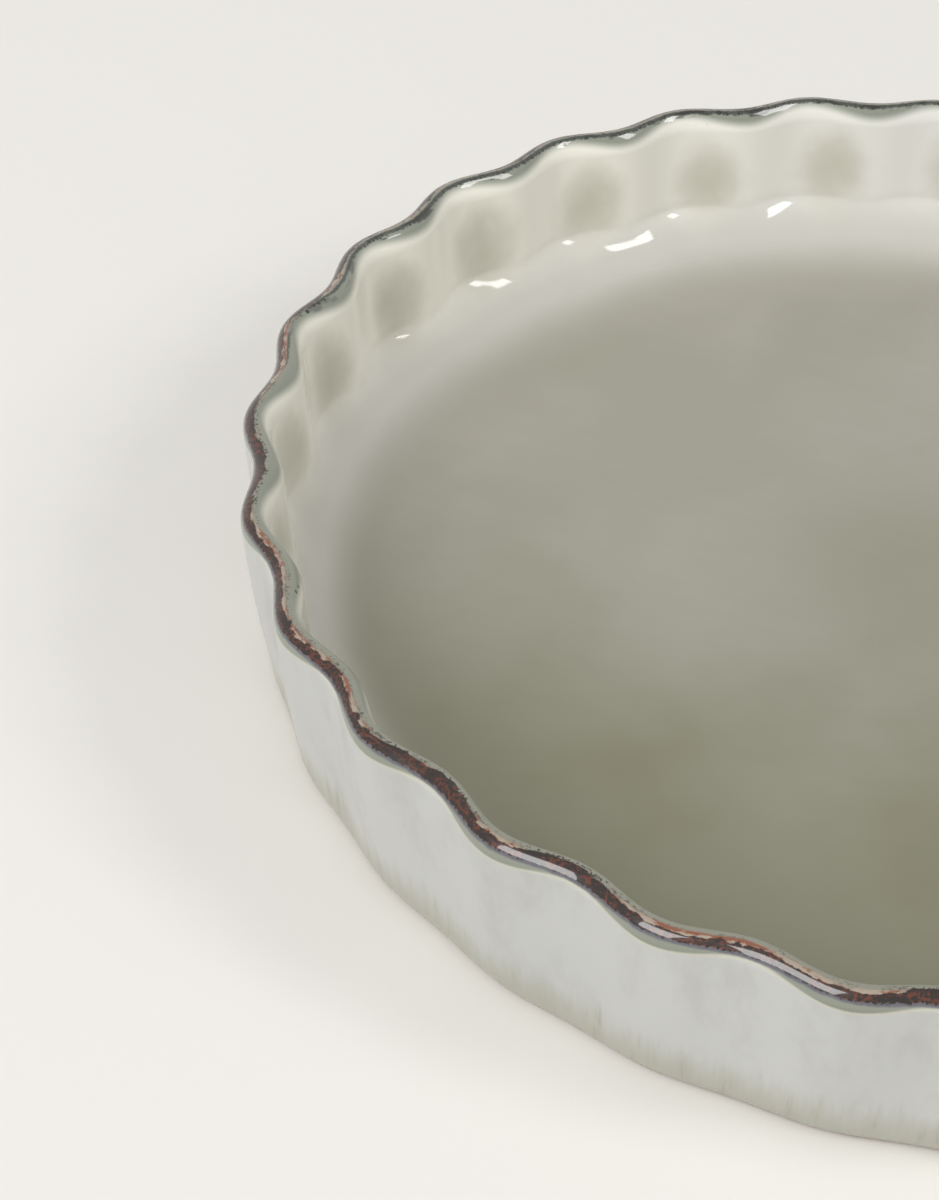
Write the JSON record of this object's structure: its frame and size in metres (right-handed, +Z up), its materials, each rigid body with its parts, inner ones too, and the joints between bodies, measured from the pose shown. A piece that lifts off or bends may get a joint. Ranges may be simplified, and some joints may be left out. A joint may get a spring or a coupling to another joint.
{
  "type": "fluted quiche dish",
  "caption": "Round shallow baking dish in glazed stoneware, with a fluted leaning wall, a rounded iron-brown lip, a coved flat floor and a bare foot ring.",
  "frame": {"origin": "centre of the dish on the surface that it stands on", "axes": "+Z up along the axis of the dish, +X through a flute crest"},
  "size_m": [0.28, 0.28, 0.04],
  "materials": {
    "fired_clay": "bare fired stoneware, fine grained and matt",
    "pale_glaze": "glossy pale grey glaze, olive and streaked towards the foot",
    "iron_rim_glaze": "glossy iron brown with copper patches, breaking to grey green at its edges",
    "grey_green_glaze": "satin to glossy grey green glaze with tan dimples in the flutes"
  },
  "bodies": {
    "root": {"stoneware_body": "fired_clay", "outside_glaze": "pale_glaze", "rim_glaze": "iron_rim_glaze", "inside_glaze": "grey_green_glaze", "base_glaze": "pale_glaze"}
  },
  "joints": []
}
